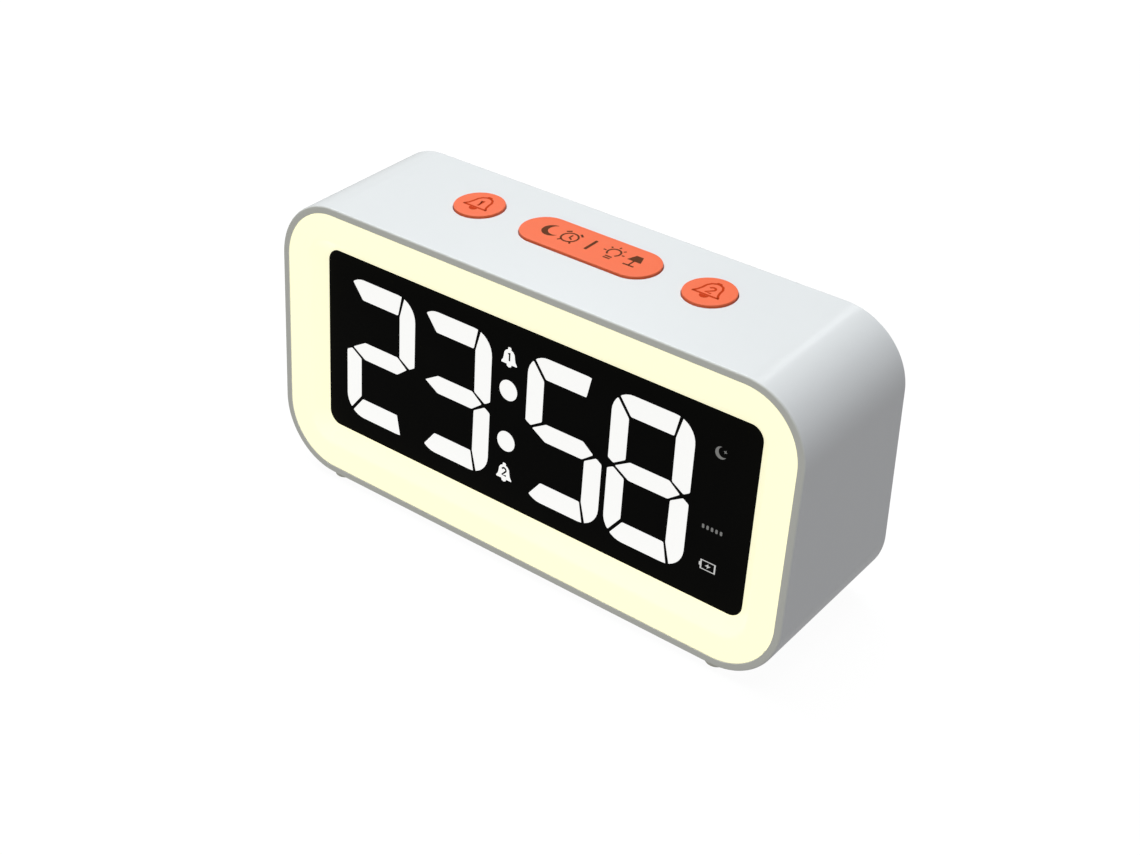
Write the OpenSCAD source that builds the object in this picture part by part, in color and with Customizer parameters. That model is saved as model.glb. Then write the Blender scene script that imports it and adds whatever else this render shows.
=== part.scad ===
// Bedside alarm clock: a rounded sleeve with a glowing front ring, a black display window
// with four large digits, three push buttons on top and four setting keys at the back.
// Millimetres. +X is to the right seen from the front, +Y runs from front to back, +Z is up.
// The origin is on the table, under the middle of the clock.

/* [Body] */
// Width of the sleeve
body_w = 160; // [150:1:175]
// Height of the sleeve without its feet
body_h = 77.4; // [76:0.2:84]
// Depth of the sleeve at its bottom edge
body_d = 48.8; // [48:0.2:52]
// Outer radius of the four long corners
corner_r = 17.7; // [17:0.1:20]
// Wall thickness of the sleeve
wall = 2; // [1.8:0.1:2.2]
// Angle by which the front face leans back
tilt = 5; // [4:0.1:5.5]
// Height of the rubber feet below the sleeve
foot_h = 2; // [1.5:0.1:3]
// Diameter of a rubber foot
foot_d = 6; // [5:0.5:8]

/* [Front] */
// Width of the black window inside the light ring
window_w = 134; // [132:0.5:136]
// Height of the black window along the slope
window_h = 51.6; // [50:0.2:53]
// Corner radius of the black window
window_r = 3.7; // [3:0.1:4.5]
// Depth of the window behind the front face
window_depth = 3.8; // [3:0.1:4]
// Thickness of the light ring's front plate
ring_t = 2; // [1.6:0.1:2]

/* [Digits] */
// Height of a digit
digit_h = 40.6; // [38:0.2:42]
// Width of a digit
digit_w = 23.8; // [22:0.2:24]
// Pitch of the two digits in a pair
digit_pitch = 25.46; // [25:0.02:26]
// Left edge of the first pair, from the middle of the clock
hours_x = -60.5; // [-62:0.1:-60]
// Left edge of the second pair, from the middle of the clock
minutes_x = 0.2; // [0:0.1:1]

/* [Top buttons] */
// Diameter of the round buttons and width of the long one
button_d = 13.2; // [12:0.1:13.5]
// Length of the long middle button
pill_l = 40.7; // [38:0.1:41]
// Distance of each round button from the middle one
button_x = 35.2; // [35:0.1:36.5]
// Offset of the button row to the right of the clock's middle
row_x = 0.9; // [0:0.1:1]
// Distance of the button row behind the middle of the clock
button_y = 7; // [6.5:0.1:8]
// Height of a button above the sleeve
button_proud = 0.65; // [0.55:0.05:1.2]
// Travel of a top button
button_travel = 0.4; // [0.2:0.1:0.5]

/* [Rear] */
// Diameter of a setting key
key_d = 6.8; // [6:0.1:7.2]
// Pitch of the setting keys
key_pitch = 12; // [11.5:0.5:12]
// Height of the key row above the table
key_z = 55; // [54:0.5:56]
// Middle of the key row, from the middle of the clock
keys_x = -30; // [-31:0.5:-28]
// Travel of a setting key
key_travel = 0.5; // [0.3:0.1:0.5]
// Outer diameter of the speaker
speaker_d = 40; // [38:0.5:40]
// Middle of the speaker, from the middle of the clock
speaker_x = 46; // [45:0.5:48]

/* [Hidden] */
$fn = 96;

// Gaps: between glued or screwed pieces, and around a sliding cap
gap = 0.1;
slide_gap = 0.15;
// Rest gap between a cap's flange and the wall that holds it in
flange_gap = 0.3;

// Sleeve
inner_w = body_w - 2 * wall;
inner_h = body_h - 2 * wall;
inner_r = corner_r - wall;
front_y = -body_d / 2;
rear_y = body_d / 2;
bottom_z = foot_h;
top_z = foot_h + body_h;
mid_z = foot_h + body_h / 2;
slope_mid = body_h / cos(tilt) / 2;

// Depths of the front pieces, square to the leaning front face
lens_t = 1.5;
lens_lip = 1.4;
lens_front = window_depth + 0.02;
ring_back = lens_front + lens_t + 0.18;
reflector_front = ring_back + 0.05;
board_front = 12.2;
board_t = 1.6;
board_back = board_front + board_t;
diffuser_t = 1;
tab_t = 2;
tab_front = board_back + 0.05;
frame_wall = 1.4;
screw_frame_x = inner_w / 2 - 3.5;
screw_frame_s = 14;

// Digits
digit_r = 6;
digit_bottom = slope_mid - digit_h / 2;
digit_x = [hours_x, hours_x + digit_pitch, minutes_x, minutes_x + digit_pitch];
colon_x = -5.6;
colon_s = 7.25;
colon_r = 2.8;
bell_s = 16.6;
status_x = 56.5;

// Top buttons, from the top down
button_r = button_d / 2;
flange_w = 1.3;
flange_t = 1.2;
flange_top = top_z - wall - flange_gap;
stem_bottom = flange_top - flange_t - 1.2;
switch_h = 3.5;
switch_w = 6;
plunger_r = 1.75;
plunger_l = 2.6;
plunger_gap = 0.1;
plunger_stand = 1.3;
key_board_top = stem_bottom - plunger_stand - switch_h - 0.02;
key_board_l = 104;
key_board_w = 16;
boss_x = [for (x = [-48.5, -24.7, 24.7, 48.5]) row_x + x];
switch_x = [for (i = [-1:1]) row_x + i * button_x];
peg_x = 14;
peg_r = 1.2;

// Rear cover and setting keys, from the back inwards
cover_t = 2;
cover_gap = 0.15;
cover_in = rear_y - cover_t;
recess_depth = 1.2;
recess_w = 12;
recess_l = 3 * key_pitch + 14;
recess_floor = rear_y - recess_depth;
pad_in = recess_floor - cover_t;
key_r = key_d / 2;
key_top = recess_floor + 0.8;
key_flange_top = pad_in - flange_gap;
key_stem_bottom = key_flange_top - flange_t - 1.3;
key_x = [for (i = [0:3]) keys_x + (i - 1.5) * key_pitch];
main_board_back = key_stem_bottom - plunger_stand - switch_h - 0.02;
main_board_front = main_board_back - board_t;
main_board_x = [-62, 16];
main_board_z = [14, 64];
main_boss = [[-58, 18], [12, 18], [-58, 60], [12, 60]];

// Corner screws
corner_boss_r = 4.7;
cover_boss_r = 2.8;
corner_inset = 4.2;
corner_boss_d = (inner_r - corner_inset) * cos(45);
corner_x = inner_w / 2 - inner_r + corner_boss_d;
corner_z = inner_h / 2 - inner_r + corner_boss_d;
corner_boss_front = 0;
corner_boss_rear = cover_in - 1.6;

// Power and sound
usb_x = -23;
usb_z = 22;
usb_w = 8.94;
usb_h = 3.26;
cell_r = 9.2;
cell_l = 65;
cell_x = -64;
cell_y = 1.4;
cell_z = bottom_z + wall + cell_r + 0.4;
speaker_r = speaker_d / 2;
speaker_z = mid_z - 0.75;
speaker_screw_r = speaker_r + 2.9;
grille_pitch = 4.2;
socket_size = [7, 4.5, 5];
socket_x = 6;
battery_socket_z = 29;
speaker_socket_z = 41;
key_socket_z = 51;
socket_y = main_board_front - socket_size.y / 2 - 0.02;
lead_r = 0.6;

// Feet
foot_x = 61.7;
foot_y = body_d / 2 - 1.3 - foot_d / 2;
foot_sink = 0.5;

// ---- Shared shapes ----

// Rectangle with round corners, centred
module rounded_rect(w, h, r) {
    square([w - 2 * r, h], center = true);
    square([w, h - 2 * r], center = true);
    for (sx = [-1, 1], sy = [-1, 1])
        translate([sx * (w / 2 - r), sy * (h / 2 - r)]) circle(r);
}

// Long shape with half-round ends, centred
module stadium(l, d) {
    square([l - d, d], center = true);
    for (s = [-1, 1]) translate([s * (l - d) / 2, 0]) circle(d / 2);
}

// Extrudes a drawing in X and Z along Y
module extrude_y(y0, y1) {
    translate([0, y1, 0]) rotate([90, 0, 0]) linear_extrude(y1 - y0) children();
}

// Cylinder along Y
module rod_y(r, y0, y1) {
    translate([0, y1, 0]) rotate([90, 0, 0]) cylinder(r = r, h = y1 - y0);
}

// Frame of the leaning front: X across, Y into the clock, Z up the slope
module front_frame() {
    translate([0, front_y, bottom_z]) rotate([-tilt, 0, 0]) children();
}

// Slab between two depths behind the front face
module front_slab(d0, d1) {
    front_frame() translate([-body_w, d0, -body_h]) cube([2 * body_w, d1 - d0, 3 * body_h]);
}

// Prism with the sleeve's inner outline, less a gap on every side
module sleeve_core(less) {
    translate([0, 0, mid_z]) extrude_y(front_y - 5, rear_y)
        rounded_rect(inner_w - 2 * less, inner_h - 2 * less, inner_r - less);
}

// Plate in the front frame, centred on the face
module front_plate(w, h, r, d0, d1) {
    front_frame() translate([0, 0, slope_mid]) extrude_y(d0, d1) rounded_rect(w, h, r);
}

// Opening that narrows from the front face to the window
module flared_opening() {
    half_w = window_w / 2;
    half_h = window_h / 2;
    flare = window_depth;
    front_frame() translate([0, 0, slope_mid]) {
        translate([0, 0, window_r - half_h]) linear_extrude(window_h - 2 * window_r)
            flare_profile(half_w, flare);
        translate([window_r - half_w, 0, 0]) rotate([0, 90, 0]) linear_extrude(window_w - 2 * window_r)
            flare_profile(half_h, flare);
        for (sx = [-1, 1], sz = [-1, 1])
            translate([sx * (half_w - window_r), flare, sz * (half_h - window_r)])
                rotate([90, 0, 0]) cylinder(r1 = window_r, r2 = window_r + 2 * flare, h = 2 * flare);
    }
}

// Section of the flared opening: depth against half-width
module flare_profile(half, flare) {
    polygon([[-half, flare], [half, flare], [half + 2 * flare, -flare], [-half - 2 * flare, -flare]]);
}

// Point on a cubic curve
function on_curve(p, t) =
    pow(1 - t, 3) * p[0] + 3 * t * pow(1 - t, 2) * p[1] + 3 * t * t * (1 - t) * p[2] + pow(t, 3) * p[3];

// Direction of a cubic curve
function along_curve(p, t) =
    let (v = pow(1 - t, 2) * (p[1] - p[0]) + 2 * t * (1 - t) * (p[2] - p[1]) + t * t * (p[3] - p[2]))
    v / norm(v);

// Insulated lead along a cubic curve; ref is a direction that the curve never runs along
module lead(p, r, ref, steps = 14, sides = 8) {
    rings = [for (i = [0:steps]) let (t = i / steps, d = along_curve(p, t), c = cross(d, ref),
        u = c / norm(c), v = cross(d, u))
        for (k = [0:sides - 1]) on_curve(p, t) + r * (cos(360 * k / sides) * u + sin(360 * k / sides) * v)];
    skin = [for (i = [0:steps - 1], k = [0:sides - 1]) let (n = (k + 1) % sides)
        [i * sides + k, i * sides + n, (i + 1) * sides + n, (i + 1) * sides + k]];
    start_cap = [for (k = [sides - 1:-1:0]) k];
    end_cap = [for (k = [0:sides - 1]) steps * sides + k];
    polyhedron(points = rings, faces = concat([start_cap], skin, [end_cap]), convexity = 4);
}

// Screw along +Y: a pan head and a plain shank
module screw(head_r, head_h, shank_r, shank_l) {
    rod_y(head_r, -head_h, 0);
    rod_y(shank_r, -0.2, shank_l);
}

// ---- Outer shell ----

module housing() {
    color("#e9edf0") {
        difference() {
            union() {
                difference() {
                    translate([0, 0, mid_z]) extrude_y(front_y, rear_y)
                        rounded_rect(body_w, body_h, corner_r);
                    translate([0, 0, mid_z]) extrude_y(front_y - 1, rear_y + 1)
                        rounded_rect(inner_w, inner_h, inner_r);
                }
                corner_bosses();
                key_board_bosses();
                frame_tabs();
                cell_cradles();
            }
            front_slab(-20, 0);
            button_holes();
            foot_pockets();
            corner_pilots();
            key_board_pilots();
            frame_tab_holes();
        }
    }
}

module at_corners() {
    for (sx = [-1, 1], sz = [-1, 1]) translate([sx * corner_x, 0, mid_z + sz * corner_z]) children();
}

module corner_bosses() {
    at_corners() rod_y(corner_boss_r, corner_boss_front, corner_boss_rear);
}

module corner_pilots() {
    at_corners() rod_y(1.3, 8, corner_boss_rear + 1);
}

module key_board_bosses() {
    boss_top = top_z - wall / 2;
    for (x = boss_x) translate([x, button_y, key_board_top + 0.02])
        cylinder(r = 2.2, h = boss_top - key_board_top - 0.02);
}

module key_board_pilots() {
    for (x = boss_x) translate([x, button_y, key_board_top - 1]) cylinder(r = 0.95, h = 7);
}

// Places of the four screws that hold the light frame, in the front frame
module at_frame_screws() {
    front_frame() for (sx = [-1, 1], ss = [-1, 1])
        translate([sx * screw_frame_x, 0, slope_mid + ss * screw_frame_s]) children();
}

module frame_tabs() {
    tab_w = inner_w / 2 + wall / 2 - screw_frame_x + 4;
    front_frame() for (sx = [-1, 1], ss = [-1, 1])
        translate([sx * (screw_frame_x - 4 + tab_w / 2), tab_front + tab_t / 2, slope_mid + ss * screw_frame_s])
            cube([tab_w, tab_t, 8], center = true);
}

module frame_tab_holes() {
    at_frame_screws() rod_y(1.5, tab_front - 1, tab_front + tab_t + 1);
}

// Two ribs on the floor that carry the cell
module cell_cradles() {
    rib_t = 2;
    for (x = [cell_x + 12, cell_x + cell_l - 14]) difference() {
        translate([x, cell_y - cell_r - 0.8, bottom_z + wall / 2])
            cube([rib_t, 2 * cell_r + 1.6, cell_z - bottom_z - 4]);
        translate([x - 1, cell_y, cell_z]) rotate([0, 90, 0]) cylinder(r = cell_r + gap, h = rib_t + 2);
    }
}

module button_holes() {
    for (x = [switch_x[0], switch_x[2]]) translate([x, button_y, top_z - 2 * wall])
        cylinder(r = button_r + slide_gap, h = 3 * wall);
    translate([switch_x[1], button_y, top_z - 2 * wall]) linear_extrude(3 * wall)
        stadium(pill_l + 2 * slide_gap, button_d + 2 * slide_gap);
}

module at_feet() {
    for (sx = [-1, 1], sy = [-1, 1]) translate([sx * foot_x, sy * foot_y, 0]) children();
}

module foot_pockets() {
    at_feet() translate([0, 0, foot_h - 1]) cylinder(r = foot_d / 2 + gap, h = 1 + foot_sink);
}

module rubber_feet() {
    color("#8d8f92") at_feet() cylinder(r = foot_d / 2, h = foot_h + foot_sink - 0.02);
}

module rear_cover() {
    color("#dfe3e6") difference() {
        union() {
            translate([0, 0, mid_z]) extrude_y(cover_in, rear_y)
                rounded_rect(inner_w - 2 * cover_gap, inner_h - 2 * cover_gap, inner_r - cover_gap);
            translate([keys_x, 0, key_z]) extrude_y(pad_in, cover_in + 0.5)
                stadium(recess_l + 3, recess_w + 3);
            at_corners() rod_y(cover_boss_r, corner_boss_rear + gap, cover_in + 0.5);
            for (p = main_boss) translate([p.x, 0, p.y]) rod_y(2.6, main_board_back + 0.02, cover_in + 0.5);
            at_speaker_screws() rod_y(2.2, cover_in - 1.7, cover_in + 0.5);
            cover_tongues();
        }
        translate([keys_x, 0, key_z]) extrude_y(recess_floor, rear_y + 1)
            stadium(recess_l, recess_w);
        for (x = key_x) translate([x, 0, key_z]) rod_y(key_r + slide_gap, pad_in - 1, rear_y);
        translate([usb_x, 0, usb_z]) extrude_y(cover_in - 1, rear_y + 1)
            rounded_rect(usb_w + 0.6, usb_h + 0.6, 1.5);
        at_corners() rod_y(1.5, corner_boss_rear - 1, rear_y);
        at_corners() rod_y(2.7, cover_in + 0.4, rear_y + 1);
        for (p = main_boss) translate([p.x, 0, p.y]) rod_y(1, main_board_back - 1, main_board_back + 7);
        at_speaker_screws() rod_y(1, cover_in - 3, cover_in + 1);
        grille_holes();
    }
}

// Tongues that centre the cover in the sleeve
module cover_tongues() {
    tongue_t = 1.4;
    tongue_y = cover_in - 4.4;
    for (s = [-1, 1]) {
        translate([-40, tongue_y, mid_z + s * (inner_h / 2 - cover_gap - tongue_t / 2) - tongue_t / 2])
            cube([80, 4.6, tongue_t]);
        translate([s * (inner_w / 2 - cover_gap - tongue_t / 2) - tongue_t / 2, tongue_y, mid_z - 14])
            cube([tongue_t, 4.6, 28]);
    }
}

module grille_holes() {
    translate([speaker_x, 0, speaker_z]) for (ring = [0:3], k = [0:max(0, 6 * ring - 1)])
        rotate([0, ring == 0 ? 0 : 60 * k / ring, 0]) translate([ring * grille_pitch, 0, 0])
            rod_y(1, cover_in - 1, rear_y + 1);
}

module cover_screws() {
    color("#b9bcc0") at_corners() translate([0, cover_in + 0.45, 0]) rotate([180, 0, 0])
        screw(2.5, 1.3, 1.25, cover_in - 9.5);
}

// ---- Front ----

module light_ring() {
    border = lens_lip + 3.6;
    color("#ffffdc") difference() {
        union() {
            intersection() {
                sleeve_core(gap);
                front_slab(0, ring_t);
            }
            front_plate(window_w + 2 * border, window_h + 2 * border, window_r + border, ring_t - 0.5, ring_back);
        }
        flared_opening();
        front_plate(window_w + 2 * lens_lip + 0.2, window_h + 2 * lens_lip + 0.2, window_r + lens_lip + 0.1,
            window_depth, ring_back + 1);
    }
}

module display_window() {
    color("#0c0c0d") front_plate(window_w + 2 * lens_lip, window_h + 2 * lens_lip, window_r + lens_lip,
        lens_front, lens_front + lens_t);
}

// White tube behind the light ring: it closes the light chamber and takes the screws
module light_frame() {
    frame_front = ring_t + gap;
    frame_back = board_front - gap;
    color("#f7f7f4") difference() {
        union() {
            difference() {
                intersection() {
                    sleeve_core(0.3);
                    front_slab(frame_front, frame_back);
                }
                sleeve_core(0.3 + frame_wall);
            }
            at_frame_screws() rod_y(2.4, frame_front + 2, frame_back);
        }
        at_frame_screws() rod_y(1.25, 5.5, frame_back + 1);
    }
}

// Outline of one segment of a digit, 0 to 6: top, upper right, lower right, bottom, lower left,
// upper left, middle. The lower half mirrors the upper one.
module segment(k) {
    upper = [
        [[0.7, 41], [19.3, 41], [18, 34.8], [5.6, 34.8]],
        [[20.1, 41], [24, 41], [24, 21.9], [22.1, 20.7], [18.5, 22.9], [18.4, 34.7]],
        [[-0.1, 40.9], [5.2, 34.2], [5.2, 22.9], [1.7, 20.7], [-0.1, 21.7]],
        [[2, 20.3], [6.4, 22.9], [17.9, 22.9], [21.3, 20.3], [17.9, 17.7], [6.4, 17.7]]
    ];
    shape = [0, 1, 1, 0, 2, 2, 3][k];
    lower = k == 2 || k == 3 || k == 4;
    scale_x = digit_w / 23.8;
    scale_s = digit_h / 40.6;
    points = [for (p = upper[shape]) [p.x * scale_x, lower ? digit_h - p.y * scale_s : p.y * scale_s]];
    intersection() {
        translate([digit_w / 2, digit_h / 2]) rounded_rect(digit_w, digit_h, digit_r);
        polygon(points);
    }
}

module digit_outline(x) {
    translate([x, digit_bottom]) for (k = [0:6]) segment(k);
}

module colon_outline() {
    for (s = [-1, 1]) translate([colon_x, slope_mid + s * colon_s]) circle(colon_r);
}

// Alarm bell: dome, flared rim and clapper
module bell() {
    translate([0, 0.5]) circle(1.35);
    translate([0, 1.9]) circle(0.5);
    polygon([[-1.35, 0.5], [1.35, 0.5], [2.1, -1.6], [-2.1, -1.6]]);
    translate([0, -1.9]) circle(0.6);
}

// Alarm bells, a moon, a row of day marks and a battery
module indicator_outline() {
    for (s = [-1, 1]) translate([colon_x, slope_mid + s * bell_s]) bell();
    translate([status_x, slope_mid + 15.4]) difference() {
        circle(1.8);
        translate([0.9, 0.6]) circle(1.5);
    }
    for (i = [-2:2]) translate([status_x + 1.25 * i, slope_mid - 5.3]) square([0.7, 1.5], center = true);
    translate([status_x, slope_mid - 15.6]) {
        square([4.8, 3], center = true);
        translate([2.6, 0]) square([0.5, 1.4], center = true);
    }
}

// Black block with a light well behind every segment, dot and symbol
module segment_reflector() {
    color("#1b1c1e") front_frame() extrude_y(reflector_front, board_front - gap) difference() {
        translate([0, slope_mid]) rounded_rect(window_w + 4, window_h + 4, window_r + 2);
        for (x = digit_x) digit_outline(x);
        colon_outline();
        indicator_outline();
    }
}

module diffuser() {
    front_frame() extrude_y(reflector_front, reflector_front + diffuser_t) children();
}

module digit_1() {
    color("#f6f6f6") diffuser() digit_outline(digit_x[0]);
}

module digit_2() {
    color("#f6f6f6") diffuser() digit_outline(digit_x[1]);
}

module digit_3() {
    color("#f6f6f6") diffuser() digit_outline(digit_x[2]);
}

module digit_4() {
    color("#f6f6f6") diffuser() digit_outline(digit_x[3]);
}

module colon_dots() {
    color("#f6f6f6") diffuser() colon_outline();
}

module indicator_lights() {
    color("#d8d8d8") diffuser() indicator_outline();
}

module display_board() {
    color("#1f5b3a") difference() {
        intersection() {
            sleeve_core(0.8);
            front_slab(board_front, board_back);
        }
        at_frame_screws() rod_y(1.5, board_front - 1, board_back + 1);
    }
}

// Chip LED on the front of the display board
module board_led(w, h, t) {
    translate([0, board_front - t / 2 - 0.01, 0]) cube([w, t, h], center = true);
}

// Two chips behind every segment, one behind every dot and symbol
module segment_leds() {
    led_spots = [
        [9, 37.7], [15, 37.7], [21, 32], [21, 26.4], [21, 14.2], [21, 8.6], [9, 2.9], [15, 2.9],
        [2.7, 14.2], [2.7, 8.6], [2.7, 32], [2.7, 26.4], [9, 20.3], [15, 20.3]
    ];
    color("#f4e9b0") front_frame() {
        for (x = digit_x, p = led_spots)
            translate([x + p.x * digit_w / 23.8, 0, digit_bottom + p.y * digit_h / 40.6]) board_led(1.6, 1.6, 0.8);
        for (s = [-colon_s, colon_s, -bell_s, bell_s])
            translate([colon_x, 0, slope_mid + s]) board_led(1.6, 1.2, 0.8);
        for (s = [15.4, -15.6]) translate([status_x - 1, 0, slope_mid + s]) board_led(0.8, 0.8, 0.6);
    }
}

// White chips all round the window that light the ring
module night_light_leds() {
    row_s = inner_h / 2 - 4.5;
    column_x = inner_w / 2 - 5.5;
    color("#fff3c4") front_frame() {
        for (i = [-4:4], s = [-1, 1]) translate([i * 15, 0, slope_mid + s * row_s]) board_led(3.5, 2.8, 1.2);
        for (i = [-1:1], s = [-1, 1]) translate([s * column_x, 0, slope_mid + i * 22]) board_led(2.8, 3.5, 1.2);
    }
}

module display_drivers() {
    color("#26282b") front_frame() for (x = [-40, 40])
        translate([x, board_back + 0.82, slope_mid - 6]) cube([10, 1.6, 6], center = true);
}

module display_screws() {
    color("#b9bcc0") at_frame_screws() translate([0, tab_front + tab_t + 0.02, 0]) rotate([180, 0, 0])
        screw(2.2, 1.2, 1.2, tab_front + tab_t - 6.5);
}

// ---- Top buttons ----

module round_button(x) {
    translate([x, button_y, 0]) {
        translate([0, 0, flange_top - 0.5]) cylinder(r = button_r, h = top_z + button_proud - flange_top + 0.5);
        translate([0, 0, flange_top - flange_t]) cylinder(r = button_r + flange_w, h = flange_t);
        translate([0, 0, stem_bottom]) cylinder(r = 2.2, h = 1.7);
    }
}

module alarm_1_button() {
    color("#f78260") round_button(switch_x[0]);
}

module alarm_2_button() {
    color("#f78260") round_button(switch_x[2]);
}

// Long button with a centre stem and two guide pegs that run through the key board
module snooze_button() {
    peg_bottom = key_board_top - 1;
    color("#f78260") translate([switch_x[1], button_y, 0]) {
        translate([0, 0, flange_top - 0.5]) linear_extrude(top_z + button_proud - flange_top + 0.5)
            stadium(pill_l, button_d);
        translate([0, 0, flange_top - flange_t]) linear_extrude(flange_t)
            stadium(pill_l + 2 * flange_w, button_d + 2 * flange_w);
        translate([0, 0, stem_bottom]) cylinder(r = 2.2, h = 1.7);
        for (x = [-peg_x, peg_x]) translate([x, 0, peg_bottom])
            cylinder(r = peg_r, h = flange_top - flange_t - peg_bottom + 0.5);
    }
}

module top_plunger(x) {
    color("#2c2c2e") translate([x, button_y, stem_bottom - plunger_l - 0.02])
        cylinder(r = plunger_r, h = plunger_l);
}

module alarm_1_plunger() {
    top_plunger(switch_x[0]);
}

module snooze_plunger() {
    top_plunger(switch_x[1]);
}

module alarm_2_plunger() {
    top_plunger(switch_x[2]);
}

// Tactile switch body that stands on z = 0, its well deep enough for the plunger's travel
module switch_body(travel) {
    well_floor = switch_h + plunger_stand - plunger_l - travel - 0.2;
    difference() {
        translate([-switch_w / 2, -switch_w / 2, 0]) cube([switch_w, switch_w, switch_h]);
        translate([0, 0, well_floor]) cylinder(r = plunger_r + plunger_gap, h = switch_h);
    }
}

module top_switches() {
    color("#3a3c40") for (x = switch_x)
        translate([x, button_y, key_board_top]) switch_body(button_travel);
}

module key_board() {
    color("#1f5b3a") translate([0, button_y, key_board_top - board_t - 0.01]) difference() {
        linear_extrude(board_t) translate([row_x, 0]) rounded_rect(key_board_l, key_board_w, 2);
        for (x = boss_x) translate([x, 0, -1]) cylinder(r = 1.15, h = board_t + 2);
        for (x = [-peg_x, peg_x]) translate([row_x + x, 0, -1]) cylinder(r = peg_r + flange_gap, h = board_t + 2);
    }
}

module key_board_screws() {
    color("#b9bcc0") for (x = boss_x)
        translate([x, button_y, key_board_top - board_t - 0.03]) rotate([90, 0, 0]) screw(2, 1.2, 0.9, 6.5);
}

// ---- Rear keys ----

module rear_key(i) {
    color("#c9cdd1") translate([key_x[i], 0, key_z]) {
        rod_y(key_r, key_flange_top - 0.5, key_top);
        rod_y(key_r + 1, key_flange_top - flange_t, key_flange_top);
        rod_y(1.7, key_stem_bottom, key_flange_top - flange_t + 0.5);
    }
}

module set_key() {
    rear_key(0);
}

module up_key() {
    rear_key(1);
}

module down_key() {
    rear_key(2);
}

module mode_key() {
    rear_key(3);
}

module rear_plunger(i) {
    color("#2c2c2e") translate([key_x[i], 0, key_z])
        rod_y(plunger_r, key_stem_bottom - plunger_l - 0.02, key_stem_bottom - 0.02);
}

module set_plunger() {
    rear_plunger(0);
}

module up_plunger() {
    rear_plunger(1);
}

module down_plunger() {
    rear_plunger(2);
}

module mode_plunger() {
    rear_plunger(3);
}

module rear_switches() {
    color("#3a3c40") for (x = key_x)
        translate([x, main_board_back, key_z]) rotate([-90, 0, 0]) switch_body(key_travel);
}

// ---- Main board ----

module main_board() {
    size_x = main_board_x[1] - main_board_x[0];
    size_z = main_board_z[1] - main_board_z[0];
    color("#1f5b3a") difference() {
        translate([(main_board_x[0] + main_board_x[1]) / 2, 0, (main_board_z[0] + main_board_z[1]) / 2])
            extrude_y(main_board_front, main_board_back - 0.01) rounded_rect(size_x, size_z, 2);
        for (p = main_boss) translate([p.x, 0, p.y]) rod_y(1.3, main_board_front - 1, main_board_back + 1);
    }
}

module main_board_screws() {
    color("#b9bcc0") for (p = main_boss)
        translate([p.x, main_board_front - 0.02, p.y]) screw(2, 1.2, 0.95, 7);
}

// Part that sits on the front side of the main board
module on_main_board(x, z, size) {
    translate([x, main_board_front - size.y / 2 - 0.02, z]) cube(size, center = true);
}

module microcontroller() {
    color("#26282b") on_main_board(-26, 40, [10, 1.4, 10]);
}

module crystal() {
    color("#c5c8cc") translate([-38, 0, 44]) extrude_y(main_board_front - 3.5, main_board_front - 0.02)
        rounded_rect(10, 4, 1.9);
}

module capacitors() {
    color("#3f4347") for (x = [-52, -44])
        translate([x, 0, 34]) rod_y(3.15, main_board_front - 7, main_board_front - 0.02);
}

// Sockets for the cell, the speaker, the key cable and both ends of the ribbon cable
module wire_sockets() {
    color("#eeeade") {
        for (z = [battery_socket_z, speaker_socket_z, key_socket_z]) on_main_board(socket_x, z, socket_size);
        on_main_board(ribbon_x, ribbon_z - 2, [ribbon_w + 3, 3, 4]);
        front_frame() translate([ribbon_x, board_back + 1.52, ribbon_z - bottom_z - 2.4])
            cube([ribbon_w + 3, 3, 4], center = true);
    }
}

module usb_port() {
    shell_t = 0.35;
    port_end = rear_y - 0.6;
    color("#c5c8cc") translate([usb_x, 0, usb_z]) {
        difference() {
            extrude_y(main_board_back, port_end) rounded_rect(usb_w, usb_h, 1.2);
            extrude_y(main_board_back + 1, port_end + 1)
                rounded_rect(usb_w - 2 * shell_t, usb_h - 2 * shell_t, 1.2 - shell_t);
        }
        translate([-3.35, main_board_back + 0.5, -0.35]) cube([6.7, port_end - main_board_back - 1.5, 0.7]);
    }
}

// Flat cable: two straight legs joined by a half turn
ribbon_x = -10;
ribbon_z = 53;
ribbon_w = 16;
ribbon_t = 0.4;
ribbon_leg = 3;
ribbon_y0 = front_y + (ribbon_z - bottom_z) * tan(tilt) + board_back + 1.7;
ribbon_y1 = main_board_front - 1.5;

module ribbon_cable() {
    bend_r = (ribbon_y1 - ribbon_y0) / 2;
    color("#d9dde2") {
        for (y = [ribbon_y0, ribbon_y1])
            translate([ribbon_x - ribbon_w / 2, y - ribbon_t / 2, ribbon_z + 0.1]) cube([ribbon_w, ribbon_t, ribbon_leg]);
        translate([ribbon_x - ribbon_w / 2, (ribbon_y0 + ribbon_y1) / 2, ribbon_z + 0.1 + ribbon_leg])
            rotate([90, 0, 90]) rotate_extrude(angle = 180)
                translate([bend_r - ribbon_t / 2, 0]) square([ribbon_t, ribbon_w]);
    }
}

module key_cable() {
    start = [socket_x, socket_y, key_socket_z + socket_size.z / 2 + 0.02];
    end = [20, button_y - 3, key_board_top - board_t - 0.05];
    color("#4a4d52") lead([start, start + [0, 0, 8], end - [0, 0, 8], end], 1.2, [0, 1, 0]);
}

// ---- Power and sound ----

module battery_cell() {
    button_r_cell = 3.2;
    color("#3f79b8") translate([cell_x, cell_y, cell_z]) rotate([0, 90, 0]) {
        cylinder(r = cell_r, h = cell_l);
        translate([0, 0, cell_l - 0.5]) cylinder(r = button_r_cell, h = 1.3);
    }
}

module battery_lead(side) {
    start = [cell_x + cell_l + 0.02, cell_y + side * 5.5, cell_z];
    end = [socket_x + side * 1.2, socket_y, battery_socket_z - socket_size.z / 2 - 0.02];
    lead([start, start + [6, 0, 0], end - [0, 0, 7], end], lead_r, [-1, 0, 1]);
}

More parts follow.
